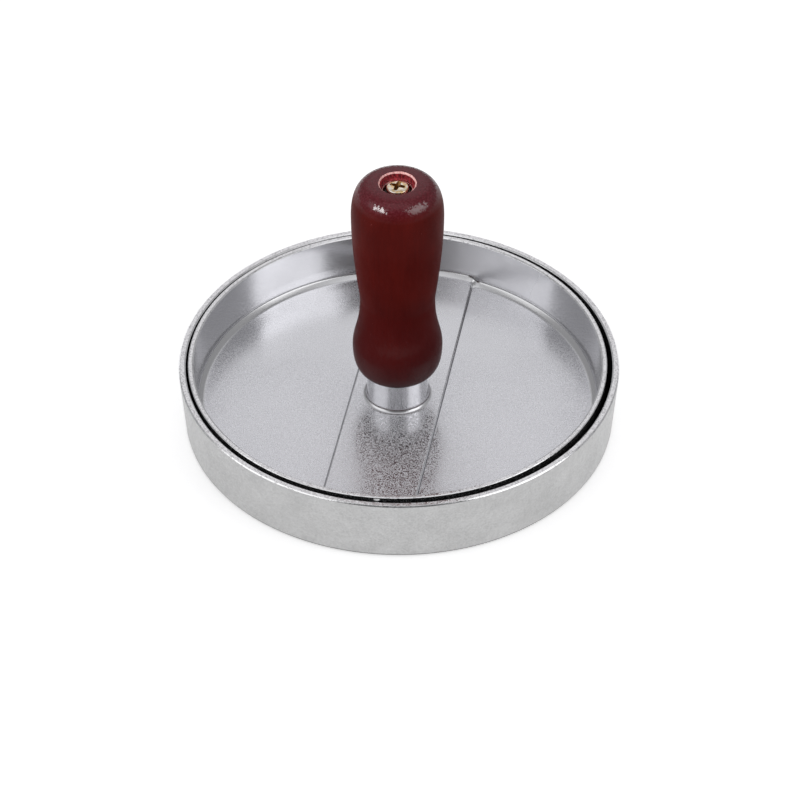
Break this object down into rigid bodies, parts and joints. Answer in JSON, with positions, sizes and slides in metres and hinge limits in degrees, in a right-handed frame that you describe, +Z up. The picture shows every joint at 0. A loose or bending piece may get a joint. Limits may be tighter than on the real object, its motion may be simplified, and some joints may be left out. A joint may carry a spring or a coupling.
{
  "type": "patty press",
  "caption": "Round hand press for burger patties: a dished plate with an upright turned grip that drops into a shallow pan.",
  "frame": {"origin": "centre of the pan's underside, on the surface the press stands on", "axes": "+Z up along the grip; the camera side of the picture is -Y; +X to the right"},
  "size_m": [0.115, 0.115, 0.0755],
  "materials": {
    "cast_aluminium": "satin blasted cast aluminium, black non-stick coat inside",
    "plate_aluminium": "satin cast aluminium, black non-stick coat outside and under",
    "lacquered_wood": "dark red gloss lacquer over turned wood",
    "gilt_steel": "yellow passivated steel",
    "zinc_steel": "zinc plated steel"
  },
  "bodies": {
    "pan": {"base_pan": "cast_aluminium"},
    "lift": {"screw_washer": "zinc_steel"},
    "press": {"press_plate": "plate_aluminium", "handle_grip": "lacquered_wood", "handle_screw": "gilt_steel"}
  },
  "joints": [
    {"name": "press_lift", "type": "slide", "parent": "pan", "child": "lift", "axis": [0, 0, 1], "range_m": [0, 0.04]},
    {"name": "press_turn", "type": "hinge", "parent": "lift", "child": "press", "pos_m": [-0.00038, 0.00012, 0], "axis": [0, 0, 1], "continuous": true}
  ]
}
